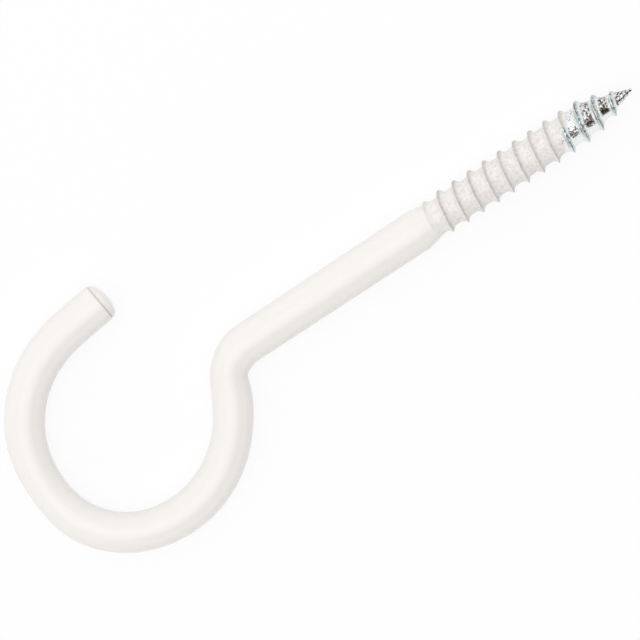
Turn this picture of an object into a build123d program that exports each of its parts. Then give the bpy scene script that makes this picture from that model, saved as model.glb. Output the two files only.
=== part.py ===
from build123d import *
import os
from math import asin, cos, degrees, pi, radians, sin

# Clothesline hook: one length of coated steel wire, bent into an open bow
# centred on its own shank, with a wood screw thread rolled on the other end.
# Sizes in mm. The hook lies flat: +X runs from the bow to the screw point,
# +Z is up, and the mouth of the bow faces +Y.

# Wire, measured over its coat
wire_diameter = 7.9

# Shank, straight from the neck bend to the thread blank
shank_length = 38.9

# Bends, each a tangent arc: radius of the wire's middle line, then its angle in degrees
neck_radius = 7.5
neck_angle = 66.0
shoulder_radius = 34.0
shoulder_angle = 17.0
front_radius = 22.0
front_angle = 69.5
seat_radius = 18.0
seat_angle = 58.5
back_radius = 22.0
back_angle = 76.0
lip_radius = 28.0
lip_angle = 18.0
tail_length = 7.8

# Sheared end of the bow: out of square, with a bevelled rim and a domed face
shear_tilt = 13.0
shear_rim_bevel = 0.2
dome_diameter = 7.2
dome_height = 1.8
dome_root_depth = 0.3

# Thread blank: the shank necks down to a plain core that ends in a gimlet point
blank_taper_length = 5.1
core_diameter = 6.4
core_length = 33.5
point_length = 9.7
point_tip_diameter = 0.4

# Thread ridge rolled round the blank: -1 is a left-hand thread, 1 a right-hand one
thread_hand = -1
thread_lead = 3.4
ridge_height = 0.9
ridge_foot_width = 1.6
ridge_root_depth = 0.3

# Where the ridge rises out of the taper, and where it sinks into the point
run_in_start = 2.4
run_in_length = 5.1
run_in_diameter = 7.2
run_out_length = 3.0
run_out_gap = 0.9
first_crest_turn = 0.5
points_per_turn = 7
faces_per_turn = 3

# Stations along X, measured from the start of the neck bend
shank_end = shank_length
core_start = shank_end + blank_taper_length
point_start = core_start + core_length
point_end = point_start + point_length
ridge_start = shank_end + run_in_start
ridge_end = point_end - run_out_gap

wire_radius = wire_diameter / 2
core_radius = core_diameter / 2
major_radius = core_radius + ridge_height


def blank_radius(x):
    """Radius of the threaded blank under the ridge, at a station past the taper."""
    if x <= point_start:
        return core_radius
    fall = (core_radius - point_tip_diameter / 2) / point_length
    return core_radius - fall * (x - point_start)


def crest_radius(x):
    """Radius of the ridge's crest: it rises from the taper and fades at the point."""
    rise = min(1.0, (x - ridge_start) / run_in_length)
    if rise < 1.0:
        return run_in_diameter / 2 + (major_radius - run_in_diameter / 2) * sin(pi / 2 * rise)
    fade = min(1.0, (ridge_end - x) / run_out_length)
    return blank_radius(x) + ridge_height * (2 * fade - 1 if fade < 0.5 else fade)


def bow_wire():
    """Round wire swept along the neck and bow, as tangent arcs and a straight tail."""
    bends = [
        (neck_radius, neck_angle),
        (shoulder_radius, -shoulder_angle),
        (front_radius, -front_angle),
        (seat_radius, -seat_angle),
        (back_radius, -back_angle),
        (lip_radius, -lip_angle),
    ]
    path = []
    at = Vector(0, 0, 0)
    heading = 180.0
    for radius, angle in bends:
        arc = JernArc(at, Vector(cos(radians(heading)), sin(radians(heading))), radius, angle)
        path.append(arc)
        at = arc @ 1
        heading += angle
    tail_direction = Vector(cos(radians(heading)), sin(radians(heading)))
    tail_end = at + tail_direction * tail_length
    path.append(Line(at, tail_end + tail_direction * wire_diameter))
    section = Plane(origin=(0, 0, 0), z_dir=(-1, 0, 0)) * Circle(wire_radius)
    wire = sweep(section, path=Wire(path))
    return wire, tail_end, heading


def sheared_bow():
    """The bow with its end sheared, the rim bevelled and the face domed."""
    wire, tail_end, heading = bow_wire()
    lean = radians(shear_tilt)
    turn = radians(heading)
    normal = Vector(cos(lean) * cos(turn), cos(lean) * sin(turn), -sin(lean))
    face_plane = Plane(origin=tail_end, z_dir=normal)
    offcut = Cylinder(wire_diameter, 2 * wire_diameter, align=(Align.CENTER, Align.CENTER, Align.MIN))
    bow = wire - face_plane * offcut
    rim = bow.faces().sort_by_distance(tail_end)[0].edges()
    bow = chamfer(rim, shear_rim_bevel)
    half = dome_diameter / 2
    sphere_radius = (half ** 2 + dome_height ** 2) / (2 * dome_height)
    ball = Pos(0, 0, dome_height - sphere_radius) * Sphere(sphere_radius)
    column = Cylinder(half, 2 * dome_height, align=(Align.CENTER, Align.CENTER, Align.MIN))
    return bow + face_plane * (ball & Pos(0, 0, -dome_root_depth) * column)


def screw_blank():
    """Turned shape of the shank, its taper, the thread core and the point."""
    drop = wire_radius - core_radius
    bend = (blank_taper_length ** 2 + drop ** 2) / (4 * drop)
    slope = degrees(asin(blank_taper_length / 2 / bend))
    shoulder = JernArc((shank_end, wire_radius), (1, 0), bend, -slope)
    hollow = JernArc(shoulder @ 1, shoulder % 1, bend, slope)
    outline = Wire([
        Line((0, 0), (0, wire_radius)),
        Line((0, wire_radius), shoulder @ 0),
        shoulder,
        hollow,
        Line(hollow @ 1, (point_start, core_radius)),
        Line((point_start, core_radius), (point_end, point_tip_diameter / 2)),
        Line((point_end, point_tip_diameter / 2), (point_end, 0)),
        Line((point_end, 0), (0, 0)),
    ])
    return revolve(Face(outline), Axis.X)


def helix_edge(radius_at, offset):
    """Curve that winds round X at the ridge's pitch, shifted along X by the offset."""
    turns = (ridge_end - ridge_start) / thread_lead
    count = int(turns * points_per_turn) + 1
    points = []
    for step in range(count + 1):
        x = ridge_start + (ridge_end - ridge_start) * step / count
        angle = thread_hand * 2 * pi * (x - ridge_start) / thread_lead + 2 * pi * first_crest_turn
        radius = radius_at(x)
        points.append((x + offset, radius * cos(angle), radius * sin(angle)))
    return Edge.make_spline(points, parameters=[step / count for step in range(count + 1)])


def thread_ridge():
    """Closed helical ridge: two flanks that meet in a crest, and a foot sunk into the blank."""
    def foot_radius(x):
        return max(blank_radius(x) - ridge_root_depth, point_tip_diameter / 4)

    corners = [
        helix_edge(foot_radius, -ridge_foot_width / 2),
        helix_edge(crest_radius, 0),
        helix_edge(foot_radius, ridge_foot_width / 2),
    ]
    spans = int(faces_per_turn * (ridge_end - ridge_start) / thread_lead) + 1
    cuts = [cut / spans for cut in range(spans + 1)]
    faces = []
    for start, end in zip(cuts, cuts[1:]):
        runs = [edge.trim(start, end) for edge in corners]
        for near, far in zip(runs, runs[1:] + runs[:1]):
            faces.append(Face.make_surface_from_curves(near, far))
    for end in (0, 1):
        faces.append(Face(Wire.make_polygon([edge @ end for edge in corners], close=True)))
    return Solid(Shell(faces))


hook = sheared_bow() + screw_blank()
hook = hook + thread_ridge()
box = hook.bounding_box()
centre = (box.min + box.max) / 2
hook = Pos(-centre.X, -centre.Y, -box.min.Z) * hook

os.makedirs("parts", exist_ok=True)
export_step(hook, "parts/hook.step")
print("overall", hook.bounding_box().size, "volume", hook.volume, "solids", len(hook.solids()))
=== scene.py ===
from functools import partial
from math import ceil, cos, pi, radians, sin, tan

import bpy
from mathutils import Matrix, Vector


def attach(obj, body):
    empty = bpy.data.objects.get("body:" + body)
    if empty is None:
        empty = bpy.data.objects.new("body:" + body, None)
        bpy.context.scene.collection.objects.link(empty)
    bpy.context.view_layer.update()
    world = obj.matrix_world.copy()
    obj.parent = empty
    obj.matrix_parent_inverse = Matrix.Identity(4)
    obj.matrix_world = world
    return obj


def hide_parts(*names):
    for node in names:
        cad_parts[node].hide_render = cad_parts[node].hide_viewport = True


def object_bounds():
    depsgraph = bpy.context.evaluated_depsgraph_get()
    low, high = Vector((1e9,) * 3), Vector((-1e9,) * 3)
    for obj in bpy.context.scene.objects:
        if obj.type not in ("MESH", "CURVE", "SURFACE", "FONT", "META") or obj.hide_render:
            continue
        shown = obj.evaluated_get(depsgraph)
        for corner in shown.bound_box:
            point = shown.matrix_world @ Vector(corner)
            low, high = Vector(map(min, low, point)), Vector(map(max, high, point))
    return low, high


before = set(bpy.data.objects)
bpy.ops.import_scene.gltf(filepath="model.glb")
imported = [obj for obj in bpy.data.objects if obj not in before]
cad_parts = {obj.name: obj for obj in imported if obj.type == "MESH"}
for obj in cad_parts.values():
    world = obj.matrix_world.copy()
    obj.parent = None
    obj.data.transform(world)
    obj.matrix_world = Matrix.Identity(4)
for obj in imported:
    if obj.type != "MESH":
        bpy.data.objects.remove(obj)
cad_low, cad_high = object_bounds()
scene = bpy.context.scene
MM = 0.001

# Clothesline hook: coated steel wire, bent into a bow, with a wood screw thread that shows
# bare zinc plate near its point. Lengths are in millimetres unless a comment says otherwise.

# Bends from the neck to the lip: radius of the wire's middle line, then its angle in degrees
bends = [
    (7.5, 66.0),
    (34.0, -17.0),
    (22.0, -69.5),
    (18.0, -58.5),
    (22.0, -76.0),
    (28.0, -18.0),
]
tail_length = 7.8
tail_overrun = 3.0
wire_radius = 3.95
# A bend is drawn in equal parts that turn no more than this many degrees
widest_part = 40

# The screw: a straight shank, its taper, the threaded core and the point
shank_length = 38.9
taper_length = 5.1
core_length = 33.5
point_length = 9.7
core_start = shank_length + taper_length
point_start = core_start + core_length
point_end = point_start + point_length

# Sizes of the hook's skin, each the name of an input of its tree. A station is the distance
# along the wire from the start of the neck bend, above 0 on the screw and below it in the bow.
skin_sizes = {
    "Bow Radius": 3.91,
    "Shank End Radius": 4.03,
    "Core Radius": 3.2,
    "Tip Radius": 0.2,
    "Shank End": shank_length,
    "Core Start": core_start,
    "Point Start": point_start,
    "Point End": point_end,
    "Thread Lead": 3.4,
    "Crest Radius": 4.09,
    "Ridge Height": 0.88,
    "Ridge Land": 0.09,
    "Ridge Flank": 1.35,
    "Steep Flank": 0.6,
    "Ridge Start": shank_length + 2.4,
    "Run In Length": 5.1,
    "Run In Radius": 3.6,
    "Run Out Start": point_end - 4.7,
    "Run Out End": point_end - 1.7,
    "Thread Drift": 0.12,
    "Neck Thin Depth": 0.18,
    "Neck Thin From": 1.0,
    "Neck Thin Middle": -6.5,
    "Neck Thin To": -13.0,
    "Corner Depth": 0.46,
    "Corner From": -2.5,
    "Corner Middle": -7.3,
    "Corner To": -12.5,
    "Squeeze Depth": 0.14,
    "Squeeze From": -11.0,
    "Squeeze Middle": -18.0,
    "Squeeze To": -24.0,
    "Flat Depth": 0.6,
    "Flat From": -57.0,
    "Flat Middle": -67.0,
    "Flat To": -80.0,
    "Low Turn Depth": 0.13,
    "Low Turn From": point_start - 6.5,
    "Low Turn Middle": point_start,
    "Low Turn To": point_start + 7.5,
    "Lean Fade": 8.0,
    "Rim Bevel": 0.2,
    "Crease Depth": 0.05,
    "Crease Width": 0.4,
    "Dome Radius": 3.78,
    "Dome Height": 1.85,
    "Dome Shift": 0.05,
    "Dome Skew": 0.3,
}
# The same for plain numbers: shares, counts and powers. A thread hand of -1 is a left-hand
# thread and 1 a right-hand one.
skin_numbers = {
    "Thread Hand": -1,
    "Ridge Hollow": 2.5,
    "First Crest Turn": 0.5,
    # How tall a crest is when the painted shade below it starts and when it is full, and how dark the
    # painted shade in the crease is
    "Shade From Height": 0.3,
    "Shade Full Height": 0.9,
    "Crease Shade": 0.7,
    "Lean": tan(radians(13.0)),
    "Screw Rows": 480,
    "Wire Rows": 300,
    "End Rows": 100,
    "Dome Rows": 24,
    "Round Points": 96,
}
# Points of the skin that lie closer than this are joined
join_distance = 0.002

# How far from the point the coat is worn off, and how its edge slants across the screw
bare_length = 14.2
coat_edge_slant = 0.75

# Kinds of node that are used most, and a blend without corners
MATH = "ShaderNodeMath"
RANGE = "ShaderNodeMapRange"
MIX = "ShaderNodeMix"
NOISE = "ShaderNodeTexNoise"
EASED = "SMOOTHSTEP"

# Detail and roughness of a noise, from smooth waves to waves with grain on them. A noise lies
# round 0.5, so a spot whose rim is near 0.5 covers about half of the surface.
SMOOTH = (2.0, 0.5)
RAGGED = (2.0, 0.6)
GRAINY = (3.0, 0.6)
LUMPY = (3.0, 0.65)


def node(tree, kind, *values, named=None, **settings):
    """Adds a node with its settings. The values fill the inputs that it then shows, in order,
    and the named ones fill those of their names: numbers, colours, or nodes to link from."""
    made = tree.nodes.new(kind)
    for name, value in settings.items():
        setattr(made, name, value)
    filled = list(zip([socket for socket in made.inputs if socket.enabled], values))
    filled += [(made.inputs[name], value) for name, value in (named or {}).items()]
    for socket, value in filled:
        if isinstance(value, bpy.types.Node):
            value = next(output for output in value.outputs if output.enabled)
        if isinstance(value, bpy.types.NodeSocket):
            tree.links.new(value, socket)
        elif value is not None:
            socket.default_value = value
    return made


def linear(hex_code):
    """Linear colour from an sRGB hex code."""
    parts = [int(hex_code[i:i + 2], 16) / 255 for i in (1, 3, 5)]
    return tuple(p / 12.92 if p <= 0.04045 else ((p + 0.055) / 1.055) ** 2.4 for p in parts) + (1.0,)


def wire_line():
    """Middle line of the wire from the screw point to past the sheared end, as one smooth curve.
    Returns the curve object, in the CAD frame, with the line's length up to the sheared face."""
    place, heading, length = Vector((point_end, 0.0)), pi, 0.0
    knots = []

    def straight(run):
        nonlocal place, length
        knots.append((place.copy(), heading, run / 3))
        place = place + Vector((cos(heading), sin(heading))) * run
        length += run

    straight(point_end)
    for radius, angle in bends:
        parts = ceil(abs(angle) / widest_part)
        turn = radians(angle) / parts
        side = radius if turn > 0 else -radius
        # Handles this long make each part follow its round arc
        reach = 4 / 3 * tan(abs(turn) / 4) * radius
        for _ in range(parts):
            knots.append((place.copy(), heading, reach))
            centre = place + side * Vector((-sin(heading), cos(heading)))
            heading += turn
            place = centre + side * Vector((sin(heading), -cos(heading)))
            length += radius * abs(turn)
    straight(tail_length)
    face_length = length
    straight(tail_overrun)
    knots.append((place.copy(), heading, tail_overrun / 3))

    curve = bpy.data.curves.new("wire_line", "CURVE")
    curve.dimensions = "3D"
    curve.resolution_u = 48
    spline = curve.splines.new("BEZIER")
    spline.bezier_points.add(len(knots) - 1)
    reach_back = knots[0][2]
    for knot, (at, way, reach) in zip(spline.bezier_points, knots):
        forward = Vector((cos(way), sin(way)))
        knot.handle_left_type = knot.handle_right_type = "FREE"
        knot.co = (*at, 0)
        knot.handle_left = (*(at - forward * reach_back), 0)
        knot.handle_right = (*(at + forward * reach), 0)
        reach_back = reach
    line = bpy.data.objects.new("wire_line", curve)
    scene.collection.objects.link(line)

    # The point touches the far end of the CAD model's box, the bow its low side, and the
    # screw's axis lies at half its height
    lowest = min(v.co.y for v in line.to_mesh().vertices)
    line.to_mesh_clear()
    neck = Vector((cad_high.x - point_end * MM,
                   cad_low.y + (wire_radius - lowest) * MM,
                   (cad_low.z + cad_high.z) / 2))
    curve.transform(Matrix.Translation(neck) @ Matrix.Scale(MM, 4))
    return line, face_length


def skin_grid(put, given):
    """Flat grid of the skin: X counts its rows from the screw point, Y its points round the wire.
    Returns the grid, the row and the part of a turn of each point, and the last rows of the
    wire, of its sheared end and of the dome."""
    wire_row = put(MATH, given["Screw Rows"], given["Wire Rows"], operation="ADD")
    face_row = put(MATH, wire_row, given["End Rows"], operation="ADD")
    last_row = put(MATH, face_row, given["Dome Rows"], operation="ADD")
    rows = put(MATH, last_row, 1, operation="ADD")
    points = put(MATH, given["Round Points"], 1, operation="ADD")
    grid = put("GeometryNodeMeshGrid", last_row, given["Round Points"], rows, points)
    spot = put("ShaderNodeSeparateXYZ", put("GeometryNodeInputPosition")).outputs
    row = put(MATH, last_row, 0.5, spot["X"], operation="MULTIPLY_ADD")
    point = put(MATH, given["Round Points"], 0.5, spot["Y"], operation="MULTIPLY_ADD")
    part_turn = put(MATH, point, given["Round Points"], operation="DIVIDE")
    return grid, row, part_turn, (wire_row, face_row, last_row)


def distance_along(put, given, row, last_rows):
    """Distance of each row from the screw point, with rows close together on the screw and by
    the sheared face. Returns it with the angle from the dome's foot towards its top."""
    wire_row, face_row, last_row = last_rows
    screw_length = put(MATH, given["Point End"], given["Shank End"], operation="SUBTRACT")
    end_start = put(MATH, given["Face Length"], given["Lean Fade"], operation="SUBTRACT")
    wire_length = put(MATH, end_start, screw_length, operation="SUBTRACT")
    on_screw = put(RANGE, row, 0.0, given["Screw Rows"], 0.0, screw_length)
    on_wire = put(RANGE, row, given["Screw Rows"], wire_row, 0.0, wire_length)
    on_end = put(RANGE, row, wire_row, face_row, 0.0, given["Lean Fade"])
    dome_angle = put(RANGE, row, face_row, last_row, 0.0, pi / 2)
    dome_rise = put(MATH, dome_angle, operation="SINE")
    before_end = put(MATH, on_screw, on_wire, operation="ADD")
    past_wire = put(MATH, dome_rise, given["Dome Height"], on_end, operation="MULTIPLY_ADD")
    run = put(MATH, before_end, past_wire, operation="ADD")
    return run, dome_angle


def bare_wire(put, given, station):
    """Radius of the wire without its thread: bow, shank, taper, core and point."""
    shank = put(RANGE, station, 0.0, given["Shank End"], given["Bow Radius"],
                given["Shank End Radius"])
    neck_down = put(MATH, given["Shank End Radius"], given["Core Radius"], operation="SUBTRACT")
    taper = put(RANGE, station, given["Shank End"], given["Core Start"], 0.0, neck_down,
                interpolation_type=EASED)
    cone_drop = put(MATH, given["Core Radius"], given["Tip Radius"], operation="SUBTRACT")
    cone = put(RANGE, station, given["Point Start"], given["Point End"], 0.0, cone_drop)
    necked = put(MATH, shank, taper, operation="SUBTRACT")
    return put(MATH, necked, cone, operation="SUBTRACT")


def round_nose(put, given, run):
    """Radius of the small round nose that closes the point."""
    tips = put(MATH, run, given["Tip Radius"], operation="DIVIDE")
    rounding = put(MATH, tips, operation="SQRT")
    widening = put(MATH, tips, 1.0, operation="ADD")
    nose = put(MATH, rounding, widening, operation="MULTIPLY")
    return put(MATH, nose, given["Tip Radius"], operation="MULTIPLY")


def thread_ridge(put, given, station, part_turn, blank):
    """Ridge of the thread, which climbs out of the taper and sinks into the point. Returns its
    height at each point, that of the nearest crest, and the turns since the first crest."""
    run_in_end = put(MATH, given["Ridge Start"], given["Run In Length"], operation="ADD")
    run_in = put(RANGE, station, given["Ridge Start"], run_in_end, 0.0, pi / 2)
    climb = put(MATH, run_in, operation="SINE")
    climb_height = put(MATH, given["Crest Radius"], given["Run In Radius"], operation="SUBTRACT")
    crest = put(MATH, climb, climb_height, given["Run In Radius"], operation="MULTIPLY_ADD")
    above_blank = put(MATH, crest, blank, operation="SUBTRACT")
    no_higher = put(MATH, above_blank, given["Ridge Height"], operation="MINIMUM")
    free_height = put(MATH, no_higher, 0.0, operation="MAXIMUM")
    run_out = put(RANGE, station, given["Run Out Start"], given["Run Out End"], 1.0, 0.0,
                  interpolation_type=EASED)
    crest_height = put(MATH, free_height, run_out, operation="MULTIPLY")

    from_start = put(MATH, station, given["Ridge Start"], operation="SUBTRACT")
    leads = put(MATH, from_start, given["Thread Lead"], operation="DIVIDE")
    wound = put(MATH, part_turn, given["Thread Hand"], operation="MULTIPLY")
    unwound = put(MATH, leads, wound, operation="SUBTRACT")
    turns = put(MATH, unwound, given["First Crest Turn"], operation="SUBTRACT")

    # From a crest, a narrow land and then a hollow flank, the same to both sides
    past_crest = put(MATH, turns, 0.5, -0.5, operation="WRAP")
    off_crest = put(MATH, past_crest, operation="ABSOLUTE")
    off_crest_length = put(MATH, off_crest, given["Thread Lead"], operation="MULTIPLY")
    off_land = put(MATH, off_crest_length, given["Ridge Land"], operation="SUBTRACT")
    down_flank = put(MATH, off_land, given["Ridge Flank"], operation="DIVIDE")
    on_flank = put(MATH, down_flank, 0.0, operation="MAXIMUM")
    left_of_flank = put(MATH, 1.0, on_flank, operation="SUBTRACT", use_clamp=True)
    hollow = put(MATH, left_of_flank, given["Ridge Hollow"], operation="POWER")
    ridge = put(MATH, crest_height, hollow, operation="MULTIPLY")
    return ridge, crest_height, turns


def forming_marks(put, given, station, across):
    """Depth of the marks of forming, each deepest at its middle: the tight neck bend is pinched
    inside and thinned outside, the bender squeezed the wire past it and left a flat on the bow,
    and one turn of the thread is low."""
    right = put(MATH, across, 0.0, operation="MAXIMUM")
    left = put(MATH, put(MATH, across, -1.0, operation="MULTIPLY"), 0.0, operation="MAXIMUM")
    sides = {"Neck Thin": right, "Corner": left, "Squeeze": right, "Flat": left, "Low Turn": 1.0}
    marks = 0.0
    for name, side in sides.items():
        start, middle, end = (given[name + part] for part in (" From", " Middle", " To"))
        deeper = put(RANGE, station, start, middle, 0.0, 1.0, interpolation_type=EASED)
        fading = put(RANGE, station, middle, end, 1.0, 0.0, interpolation_type=EASED)
        along = put(MATH, deeper, fading, operation="MULTIPLY")
        depth = put(MATH, side, given[name + " Depth"], operation="MULTIPLY")
        marks = put(MATH, along, depth, marks, operation="MULTIPLY_ADD")
    return marks


def sheared_end(put, given, run, dome_angle, past_face):
    """Radius at the sheared end: a bevelled rim, a crease, and the round face that swells out
    of it. Returns it with the distance from the crease."""
    before_face = put(MATH, given["Face Length"], run, operation="SUBTRACT")
    from_crease = put(MATH, before_face, operation="ABSOLUTE")
    rim_edge = put(MATH, given["Bow Radius"], given["Rim Bevel"], operation="SUBTRACT")
    bevel = put(MATH, rim_edge, from_crease, operation="ADD")
    swell = put(MATH, dome_angle, operation="COSINE")
    dome = put(MATH, swell, given["Dome Radius"], operation="MULTIPLY")
    end = put(MIX, past_face, bevel, dome)
    crease = put(RANGE, from_crease, 0.0, given["Crease Width"], given["Crease Depth"], 0.0,
                 interpolation_type=EASED)
    return put(MATH, end, crease, operation="SUBTRACT"), from_crease


def painted_shade_mask(put, given, turns, crest_height, from_crease):
    """Painted shade, from 0 to 1: below the crests of full height, on the side of the
    point, and in the crease of the sheared end."""
    # Painted shade on the steep flank on the point's side of each tall crest
    part_past = put(MATH, turns, 1.0, 0.0, operation="WRAP")
    past_crest = put(MATH, part_past, given["Thread Lead"], operation="MULTIPLY")
    steep = put(RANGE, past_crest, 0.0, given["Steep Flank"], 1.0, 0.0)
    share = put(MATH, crest_height, given["Ridge Height"], operation="DIVIDE")
    tall = put(RANGE, share, given["Shade From Height"], given["Shade Full Height"], 0.0, 1.0)
    below_crest = put(MATH, steep, tall, operation="MULTIPLY")
    # Painted shade in the crease of the sheared end
    in_crease = put(RANGE, from_crease, 0.0, given["Crease Width"], given["Crease Shade"], 0.0)
    return put(MATH, below_crest, in_crease, operation="MAXIMUM")


def hook_skin(finish, names):
    """Node tree that makes the hook: a grid of rows along the wire and points round it is laid
    on the wire line, each point standing off by the radius that the wire has there."""
    tree = bpy.data.node_groups.new("hook_skin", "GeometryNodeTree")
    tree.interface.new_socket("Wire Line", in_out="INPUT", socket_type="NodeSocketGeometry")
    for name, value in names.items():
        kind = "NodeSocketInt" if isinstance(value, int) else "NodeSocketFloat"
        tree.interface.new_socket(name, in_out="INPUT", socket_type=kind)
    tree.interface.new_socket("Hook", in_out="OUTPUT", socket_type="NodeSocketGeometry")
    put = partial(node, tree)
    given = put("NodeGroupInput").outputs

    # Where each point of the grid belongs on the wire
    grid, row, part_turn, last_rows = skin_grid(put, given)
    wire_row, face_row, _ = last_rows
    run, dome_angle = distance_along(put, given, row, last_rows)
    station = put(MATH, given["Point End"], run, operation="SUBTRACT")
    past_face = put(MATH, row, face_row, operation="GREATER_THAN")
    angle = put(MATH, part_turn, 2 * pi, operation="MULTIPLY")
    across = put(MATH, angle, operation="COSINE")
    upward = put(MATH, angle, operation="SINE")

    # Radius there: the wire with its ridge and marks, within what the two ends allow
    blank = bare_wire(put, given, station)
    ridge, crest_height, turns = thread_ridge(put, given, station, part_turn, blank)
    ridged = put(MATH, blank, ridge, operation="ADD")
    marks = forming_marks(put, given, station, across)
    wire = put(MATH, ridged, marks, operation="SUBTRACT")
    end, from_crease = sheared_end(put, given, run, dome_angle, past_face)
    in_end = put(MATH, wire, end, operation="MINIMUM")
    in_nose = put(MATH, in_end, round_nose(put, given, run), operation="MINIMUM")
    radius = put(MATH, in_nose, 0.0, operation="MAXIMUM")

    # Keep for the finish how high the ridge is and where shade is painted, while the grid is flat and
    # its positions are still the rows
    height = put(MATH, ridge, given["Ridge Height"], operation="DIVIDE", use_clamp=True)
    painted_shade = painted_shade_mask(put, given, turns, crest_height, from_crease)
    marked = put("GeometryNodeStoreNamedAttribute", grid, named={"Name": "ridge", "Value": height},
                 data_type="FLOAT", domain="POINT")
    marked = put("GeometryNodeStoreNamedAttribute", marked, named={"Name": "painted_shade_mask", "Value": painted_shade},
                 data_type="FLOAT", domain="POINT")

    # Lay each point round the line; the rows lean with the sheared face as they near it
    lean = put(RANGE, row, wire_row, face_row, 0.0, given["Lean"], interpolation_type=EASED)
    up_reach = put(MATH, upward, radius, operation="MULTIPLY")
    leant = put(MATH, up_reach, lean, run, operation="MULTIPLY_ADD")
    on_line = put("GeometryNodeSampleCurve", named={"Curves": given["Wire Line"], "Length": leant},
                  mode="LENGTH", use_all_curves=True).outputs
    up = put("ShaderNodeCombineXYZ", 0.0, 0.0, 1.0)
    aside = put("ShaderNodeVectorMath", on_line["Tangent"], up, operation="CROSS_PRODUCT")
    drift = put(RANGE, station, given["Shank End"], given["Core Start"], 0.0, given["Thread Drift"])
    dome_rise = put(MATH, dome_angle, operation="SINE")
    dome_shift = put(MATH, dome_rise, given["Dome Skew"], given["Dome Shift"],
                     operation="MULTIPLY_ADD")
    shift = put(MATH, past_face, dome_shift, drift, operation="MULTIPLY_ADD")
    side_reach = put(MATH, across, radius, shift, operation="MULTIPLY_ADD")
    sideways = put("ShaderNodeVectorMath", aside, side_reach, operation="SCALE")
    upwards = put("ShaderNodeVectorMath", up, up_reach, operation="SCALE")
    stand_off = put("ShaderNodeVectorMath", sideways, upwards, operation="ADD")
    surface = put("ShaderNodeVectorMath", on_line["Position"], stand_off, operation="ADD")
    laid = put("GeometryNodeSetPosition", marked, None, surface)

    # Close the seam and the poles
    closed = put("GeometryNodeMergeByDistance", laid, named={"Distance": join_distance * MM})
    smooth = put("GeometryNodeSetShadeSmooth", closed)
    real = put("GeometryNodeRealizeInstances", smooth)
    put("NodeGroupOutput", put("GeometryNodeSetMaterial", real, named={"Material": finish}))
    return tree


def hook_wire(finish):
    """The whole hook as one plain mesh, made by its tree from the wire line."""
    line, face_length = wire_line()
    values = {name: size * MM for name, size in skin_sizes.items()}
    values["Face Length"] = face_length * MM
    values.update(skin_numbers)
    skin = line.modifiers.new("hook_skin", "NODES")
    skin.node_group = hook_skin(finish, values)
    for socket in skin.node_group.interface.items_tree:
        if socket.name in values:
            skin[socket.identifier] = values[socket.name]
    shown = line.evaluated_get(bpy.context.evaluated_depsgraph_get())
    hook = bpy.data.objects.new("hook_wire", bpy.data.meshes.new_from_object(shown))
    scene.collection.objects.link(hook)
    bpy.data.objects.remove(line)
    return hook


def from_point(distance):
    """X in the frame of a place on the screw, from its distance to the point."""
    return cad_high.x - distance * MM


def worn_edge(put, where, x, y):
    """1 where the coat is worn off and 0 where it holds, with an edge that slants across the
    screw in waves 2 mm long, with tears of 0.4 mm on them."""
    wave_length, wave_reach = 2.0 * MM, 2.6 * MM
    tear_length, tear_reach = 0.4 * MM, 0.8 * MM
    edge_blur = 0.03 * MM
    wave = put(NOISE, where, 1 / wave_length, *RAGGED)
    tear = put(NOISE, where, 1 / tear_length, *RAGGED)
    slanted = put(MATH, y, -coat_edge_slant, x, operation="MULTIPLY_ADD")
    waved = put(MATH, wave, wave_reach, slanted, operation="MULTIPLY_ADD")
    torn = put(MATH, tear, tear_reach, waved, operation="MULTIPLY_ADD")
    edge = from_point(bare_length) + (wave_reach + tear_reach) / 2
    return put(RANGE, torn, edge - edge_blur, edge + edge_blur)


def dark_flecks_and_painted_band(put, where, x, y, ridge):
    """How much brown-black lies on the plate, in the roots of the thread alone: flecks of 0.4 mm
    that get thicker towards the point, and a painted dark reflection, for which the flecks run
    together in a band along one side and keep to that side, with the plate below it left bright."""
    fleck_size = 0.4 * MM
    fleck_rim, fleck_heart = 0.45, 0.62
    few_at, few_flecks = from_point(12), -0.08
    many_at, many_flecks = from_point(9), 0.04
    # Side of the screw that gets the painted dark band, and where the plate is left bright below it
    bright_side_to, dark_side_from = -1.9 * MM, -1.5 * MM
    painted_band_to, painted_band_gone = -0.8 * MM, 0.2 * MM
    painted_band_fades, painted_band_ends = from_point(5), from_point(3.5)
    painted_band_flecks = 0.14
    root_height, flank_height = 0.05, 0.2
    flecks = put(NOISE, where, 1 / fleck_size, *GRAINY)
    toward_point = put(RANGE, x, few_at, many_at, few_flecks, many_flecks)
    # Painted dark reflection: the flecks thicken into a band along one side, which fades out near the
    # point
    beside_painted_band = put(RANGE, y, painted_band_to, painted_band_gone, painted_band_flecks, 0.0)
    along_painted_band = put(RANGE, x, painted_band_fades, painted_band_ends, 1.0, 0.0)
    thicker = put(MATH, beside_painted_band, along_painted_band, toward_point, operation="MULTIPLY_ADD")
    thick = put(MATH, thicker, flecks, operation="ADD")
    flecked = put(RANGE, thick, fleck_rim, fleck_heart)
    # Painted reflection: the darkening keeps to one side of the screw and the plate below it stays
    # bright
    painted_dark_side = put(RANGE, y, bright_side_to, dark_side_from)
    one_side = put(MATH, flecked, painted_dark_side, operation="MULTIPLY")
    in_root = put(RANGE, ridge, root_height, flank_height, 1.0, 0.0)
    return put(MATH, one_side, in_root, operation="MULTIPLY")


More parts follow.
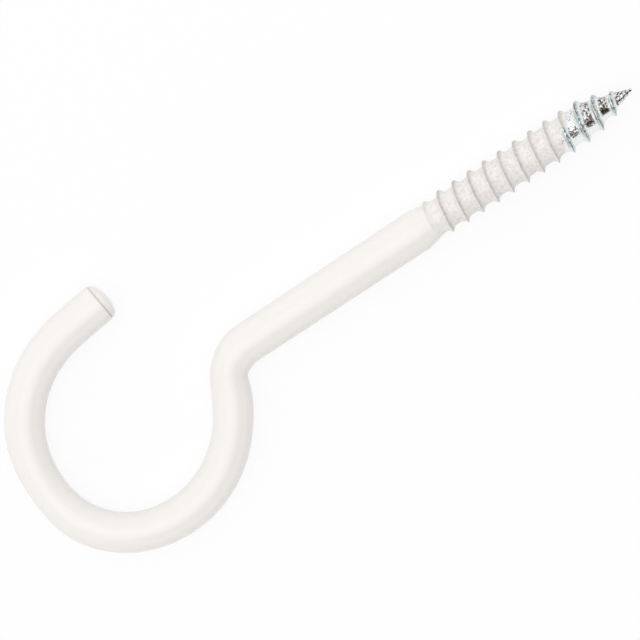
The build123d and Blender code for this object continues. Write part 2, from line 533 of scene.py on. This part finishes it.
def zinc_plate(put, where, x, y, ridge, painted_shade):
    """Colour of the plate: bright zinc, duller on the crests, with a painted dark blue-green
    reflection in patches of 0.5 mm on the steep flanks, and brown-black flecks and a painted dark band
    in the roots."""
    patch_size = 0.5 * MM
    patch_rim, patch_heart = 0.42, 0.58
    least_tint, most_tint = 0.15, 1.6
    bright = put(MIX, ridge, linear("#F0F2F2"), linear("#D3D9DA"), data_type="RGBA")
    patches = put(NOISE, where, 1 / patch_size, *GRAINY)
    patched = put(RANGE, patches, patch_rim, patch_heart, least_tint, most_tint)
    # Painted dark reflection: the steep flanks turn dark blue-green in patches
    flank_reflection = put(MATH, painted_shade, patched, operation="MULTIPLY", use_clamp=True)
    tinted = put(MIX, flank_reflection, bright, linear("#5F7876"), data_type="RGBA")
    flecks_and_band = dark_flecks_and_painted_band(put, where, x, y, ridge)
    return put(MIX, flecks_and_band, tinted, linear("#4E4238"), data_type="RGBA")


def powder_coat(put, where, in_thread, painted_shade):
    """Colour of the coat: warm white, mottled grey every 0.7 mm in the thread, and greyed as painted
    shade below the crests on the side of the point and in the crease of the sheared end."""
    mottle_size = 0.7 * MM
    mottle_rim, mottle_heart = 0.45, 0.65
    mottle_share, shade_share = 0.35, 0.85
    mottle = put(NOISE, where, 1 / mottle_size, *GRAINY)
    mottled = put(RANGE, mottle, mottle_rim, mottle_heart, 0.0, mottle_share)
    mottles = put(MATH, mottled, in_thread, operation="MULTIPLY")
    # Painted shade greys the coat on the steep flanks and in the crease, and the mottle greys it in
    # the thread
    greyed = put(MATH, painted_shade, shade_share, mottles, operation="MULTIPLY_ADD", use_clamp=True)
    return put(MIX, greyed, linear("#F0ECE8"), linear("#BEB6AC"), data_type="RGBA")


def surface_relief(put, where, in_thread, bare):
    """Fine relief of the surface: orange peel 1.5 mm across, lumps of 0.6 mm where the coat
    filled the thread, and wrinkles of 0.4 mm in the plate."""
    peel_size, peel_depth = 1.5 * MM, 0.006
    lump_size, lump_depth = 0.6 * MM, 0.12
    wrinkle_size, wrinkle_depth = 0.4 * MM, 0.1
    peel = put(MATH, put(NOISE, where, 1 / peel_size, *SMOOTH), peel_depth, operation="MULTIPLY")
    lumps = put(MATH, put(NOISE, where, 1 / lump_size, *LUMPY), lump_depth, operation="MULTIPLY")
    wrinkles = put(MATH, put(NOISE, where, 1 / wrinkle_size, *SMOOTH), wrinkle_depth,
                   operation="MULTIPLY")
    coat = put(MIX, in_thread, peel, lumps)
    relief = put(MIX, bare, coat, wrinkles)
    return put("ShaderNodeBump", named={"Strength": 1.0, "Distance": MM, "Height": relief})


def coated_steel():
    """White baked powder coat over zinc-plated steel wire: warm white with a soft gloss and a
    faint orange peel, rough in the thread, and worn off the last turns and the point, where
    the plate is bright and wrinkled by thread rolling."""
    coat_roughness, plate_roughness = 0.26, 0.16
    thread_fade = 4 * MM
    finish = bpy.data.materials.new("white_powder_coat_over_zinc_plate")
    finish.use_nodes = True
    tree = finish.node_tree
    tree.nodes.clear()
    put = partial(node, tree)
    where = put("ShaderNodeTexCoord").outputs["Object"]
    spot = put("ShaderNodeSeparateXYZ", where).outputs
    x, y = spot["X"], spot["Y"]
    ridge = put("ShaderNodeAttribute", attribute_name="ridge").outputs["Fac"]
    # Where shade is painted: the steep flanks and the crease of the sheared end
    painted_shade = put("ShaderNodeAttribute", attribute_name="painted_shade_mask").outputs["Fac"]
    thread_start = from_point(point_end - skin_sizes["Ridge Start"])
    in_thread = put(RANGE, x, thread_start, thread_start + thread_fade)

    bare = worn_edge(put, where, x, y)
    coat = powder_coat(put, where, in_thread, painted_shade)
    plate = zinc_plate(put, where, x, y, ridge, painted_shade)
    shader = put("ShaderNodeBsdfPrincipled", named={
        "Base Color": put(MIX, bare, coat, plate, data_type="RGBA"),
        "Metallic": bare,
        "Roughness": put(MIX, bare, coat_roughness, plate_roughness),
        "Normal": surface_relief(put, where, in_thread, bare),
    })
    put("ShaderNodeOutputMaterial", shader)
    return finish


def staged(name, corners, faces, material):
    """A piece of the studio, which is not part of the hook."""
    prop = bpy.data.objects.new(name, bpy.data.meshes.new(name))
    prop.data.from_pydata(corners, [], faces)
    prop.data.materials.append(material)
    scene.collection.objects.link(prop)
    return prop


def seen_white(tree):
    """1 where the backdrop is seen, by the camera, in a reflection or through a clear thing, and
    0 for the light that it gives."""
    rays = node(tree, "ShaderNodeLightPath").outputs
    mirrored = node(tree, MATH, rays["Is Camera Ray"], rays["Is Glossy Ray"], operation="ADD")
    return node(tree, MATH, mirrored, rays["Is Transmission Ray"], operation="ADD",
                use_clamp=True)


def floor():
    """Seamless white paper: matt, and white to the camera with a faint shadow of the hook.
    In metres."""
    half_width = 1.5
    white_share = 0.88
    paper = bpy.data.materials.new("white_backdrop_paper")
    paper.use_nodes = True
    tree = paper.node_tree
    tree.nodes.clear()
    put = partial(node, tree)
    matt = put("ShaderNodeBsdfDiffuse", linear("#F4F4F4"))
    white = put("ShaderNodeEmission", (1, 1, 1, 1), 1.0)
    lifted = put("ShaderNodeMixShader", white_share, matt, white)
    put("ShaderNodeOutputMaterial", put("ShaderNodeMixShader", seen_white(tree), matt, lifted))
    corners = [(x * half_width, y * half_width, 0) for x, y in ((-1, -1), (1, -1), (1, 1), (-1, 1))]
    staged("backdrop_floor", corners, [(0, 1, 2, 3)], paper)


def dark_screen():
    """Curved dark cloth at the right of the camera: it shades the wire's right side, and
    metal shows it as a dark band. Azimuths in degrees from +X; other sizes in metres."""
    distance = 0.45
    first_azimuth, last_azimuth = -135, -15
    first_foot, last_foot = 0.3, 0.14
    first_top, last_top = 0.57, 0.42
    steps = 24
    cloth = bpy.data.materials.new("black_studio_cloth")
    cloth.use_nodes = True
    tree = cloth.node_tree
    tree.nodes.clear()
    node(tree, "ShaderNodeOutputMaterial", node(tree, "ShaderNodeBsdfDiffuse", linear("#262320")))
    corners = []
    for step in range(steps + 1):
        part = step / steps
        azimuth = radians(first_azimuth + (last_azimuth - first_azimuth) * part)
        x, y = distance * cos(azimuth), distance * sin(azimuth)
        corners.append((x, y, first_foot + (last_foot - first_foot) * part))
        corners.append((x, y, first_top + (last_top - first_top) * part))
    faces = [(2 * i, 2 * i + 1, 2 * i + 3, 2 * i + 2) for i in range(steps)]
    staged("dark_screen", corners, faces, cloth).visible_camera = False


def softbox():
    """Round softbox overhead, whose edge gives the coat its long highlight. In metres."""
    radius, height = 0.55, 1.0
    brightness = 1.05
    lamp = bpy.data.lights.new("softbox", "AREA")
    lamp.shape = "DISK"
    lamp.size = 2 * radius
    lamp.energy = brightness * pi * pi * radius ** 2
    held = bpy.data.objects.new("softbox", lamp)
    held.location = (0.0, 0.0, height)
    scene.collection.objects.link(held)


def studio():
    """An even white room round the floor, with the softbox and the screen."""
    wall_brightness = 0.9
    floor()
    dark_screen()
    softbox()
    world = bpy.data.worlds.new("white_room")
    world.use_nodes = True
    tree = world.node_tree
    tree.nodes.clear()
    put = partial(node, tree)
    walls = put("ShaderNodeBackground", (1, 1, 1, 1), wall_brightness)
    white = put("ShaderNodeBackground", (1, 1, 1, 1), 1.0)
    put("ShaderNodeOutputWorld", put("ShaderNodeMixShader", seen_white(tree), walls, white))
    scene.world = world


def camera():
    """Camera above the hook, tipped a little towards its point. Distances in metres."""
    tip, roll = radians(11.2), radians(33.31)
    distance = 0.9
    look_at = Vector((-0.00331, -0.00456, 0.0041))
    back = Vector((sin(tip), 0, cos(tip)))
    along = Vector((cos(tip), 0, -sin(tip)))
    aside = Vector((0, 1, 0))
    right = along * cos(roll) - aside * sin(roll)
    up = along * sin(roll) + aside * cos(roll)
    data = bpy.data.cameras.new("camera")
    data.lens = 269.3
    data.sensor_width = 36
    data.clip_start = 0.05
    data.clip_end = 20
    eye = bpy.data.objects.new("camera", data)
    scene.collection.objects.link(eye)
    eye.matrix_world = (Matrix.Translation(look_at + back * distance)
                        @ Matrix((right, up, back)).transposed().to_4x4())
    scene.camera = eye


scene.view_settings.view_transform = "Standard"
hook = hook_wire(coated_steel())
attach(hook, "root")
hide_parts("hook")
studio()
camera()
